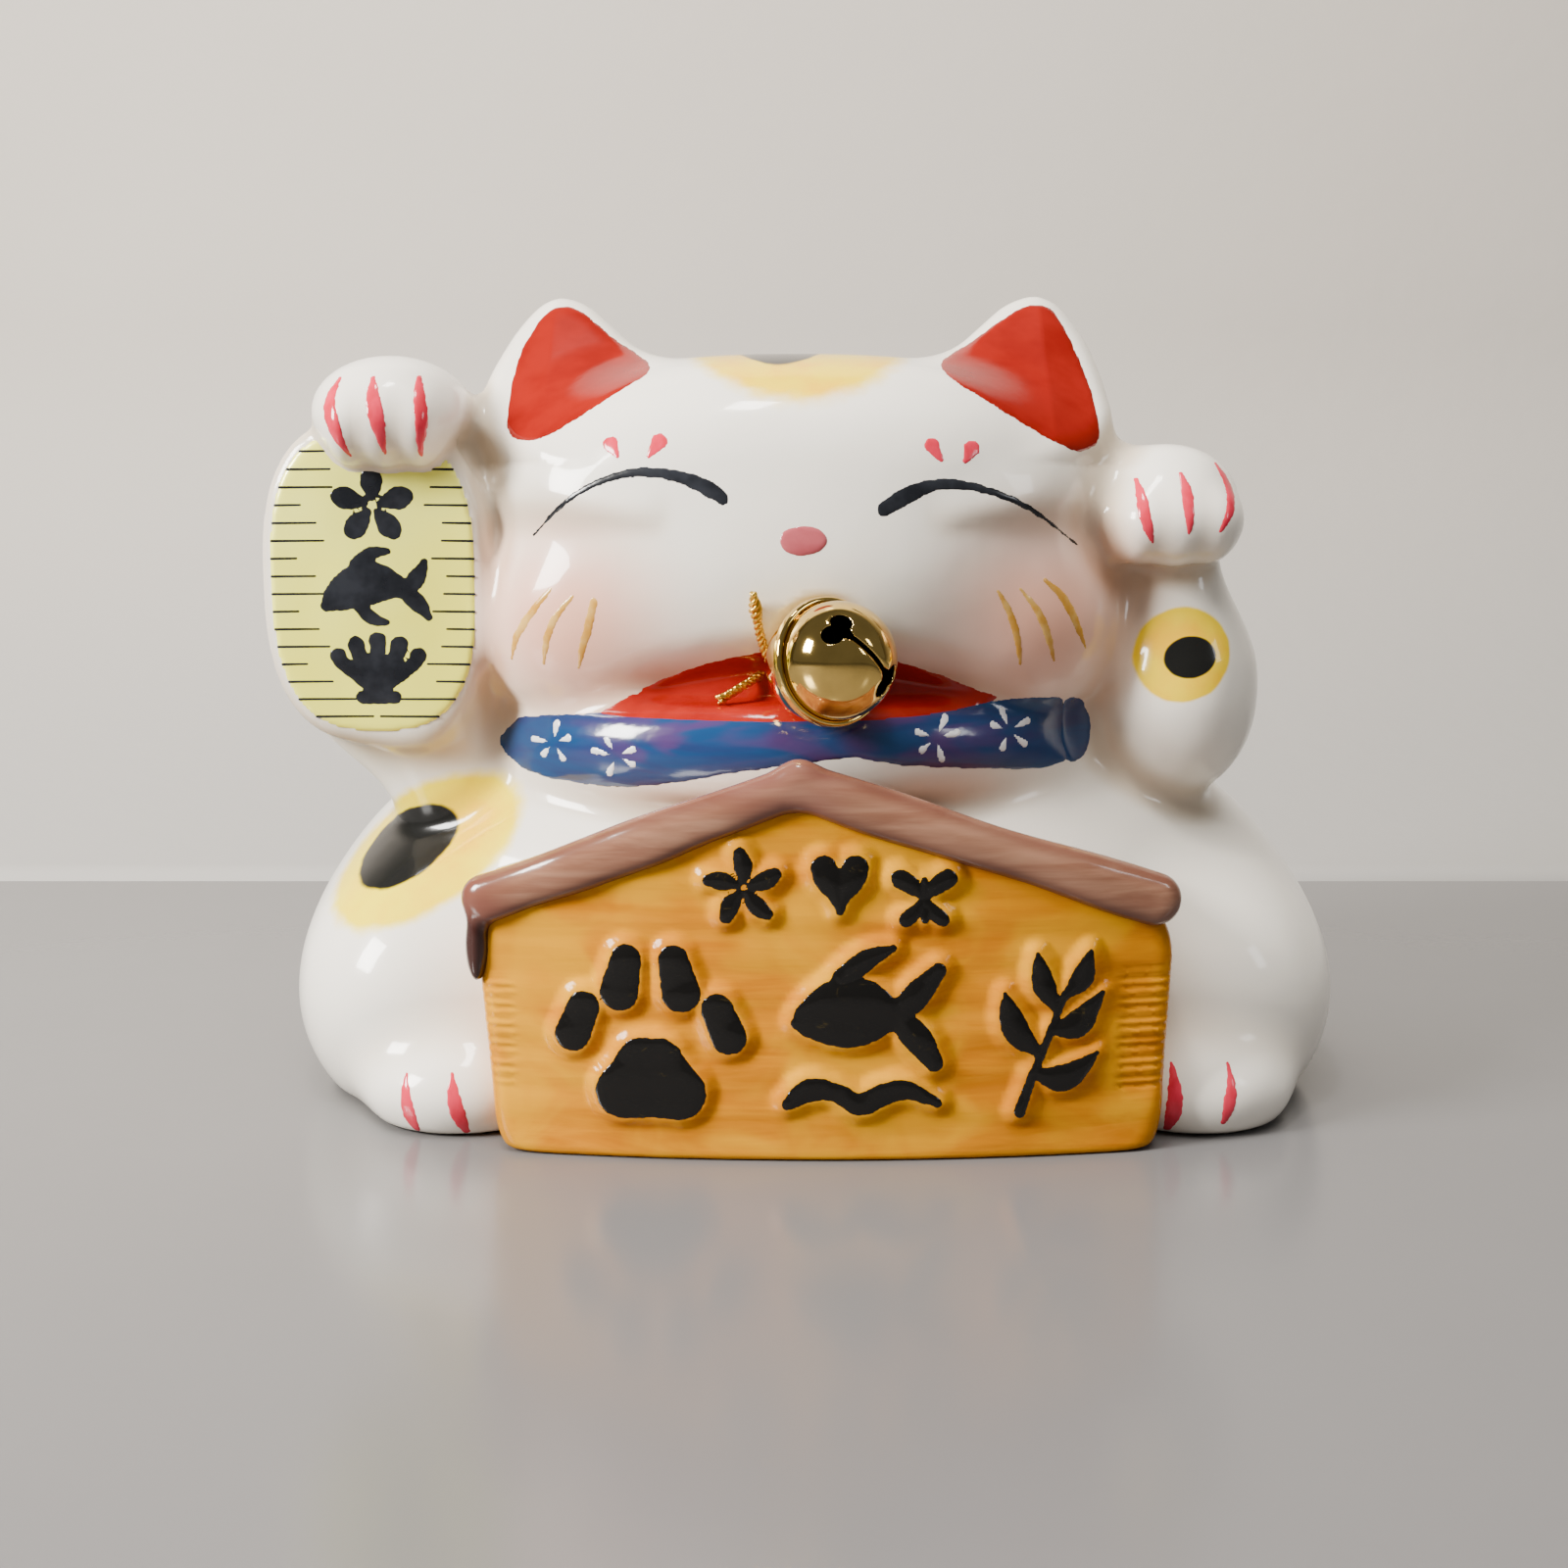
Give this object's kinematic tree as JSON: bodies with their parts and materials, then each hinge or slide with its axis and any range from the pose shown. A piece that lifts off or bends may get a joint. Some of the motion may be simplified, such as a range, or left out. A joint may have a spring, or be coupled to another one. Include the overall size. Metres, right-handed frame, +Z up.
{
  "type": "beckoning cat figurine",
  "caption": "Squat white ceramic beckoning cat coin bank with raised paws, a gabled sign board in front, a foil tablet at one paw and a small gold bell on a cord at its collar.",
  "frame": {"origin": "centre of the overall footprint, on the table plane", "axes": "+Z up; the cat faces -Y; +X is towards the arm with the round spot, -X towards the arm with the tablet"},
  "size_m": [0.15, 0.0989, 0.1105],
  "materials": {
    "white_glaze": "glossy clear glaze over white clay, painted details",
    "amber_glaze": "glossy, brushed amber",
    "brown_glaze": "glossy, streaky brown",
    "black_glaze": "glossy raised black",
    "blue_glaze": "glossy, brushed blue",
    "red_glaze": "glossy red",
    "gold_foil": "metallised pale gold foil label",
    "rubber_plug": "matt translucent grey",
    "gold_plate": "polished gold-coloured plating",
    "pellet_steel": "dull",
    "gold_cord": "twisted metallic thread"
  },
  "bodies": {
    "cat": {"cat_shell": "white_glaze", "sign_board": "amber_glaze", "sign_roof": "brown_glaze", "mark_paw": "black_glaze", "mark_fish": "black_glaze", "mark_sprig": "black_glaze", "mark_blossom": "black_glaze", "mark_heart": "black_glaze", "mark_butterfly": "black_glaze", "collar_band": "blue_glaze", "bib": "red_glaze", "koban_foil": "gold_foil", "cord": "gold_cord"},
    "stopper": {"base_stopper": "rubber_plug"},
    "bell_hanger": {"bell_loop": "gold_plate"},
    "bell": {"bell_front": "gold_plate", "bell_back": "gold_plate"},
    "pellet": {"bell_pellet": "pellet_steel"}
  },
  "joints": [
    {"name": "stopper_pull", "type": "slide", "parent": "cat", "child": "stopper", "axis": [0, 0, -1], "range_m": [0, 0.02]},
    {"name": "bell_sway", "type": "hinge", "parent": "cat", "child": "bell_hanger", "pos_m": [-0.00416, -0.03174, 0.05892], "axis": [0, 0, 1], "range_deg": [-22, 5]},
    {"name": "bell_spin", "type": "hinge", "parent": "bell_hanger", "child": "bell", "pos_m": [0.0015, -0.0408, 0.0608], "axis": [0.5219, -0.8352, 0.1736], "continuous": true},
    {"name": "pellet_rattle", "type": "slide", "parent": "bell_hanger", "child": "pellet", "axis": [0, 0, 1], "range_m": [0, 0.0084]}
  ]
}
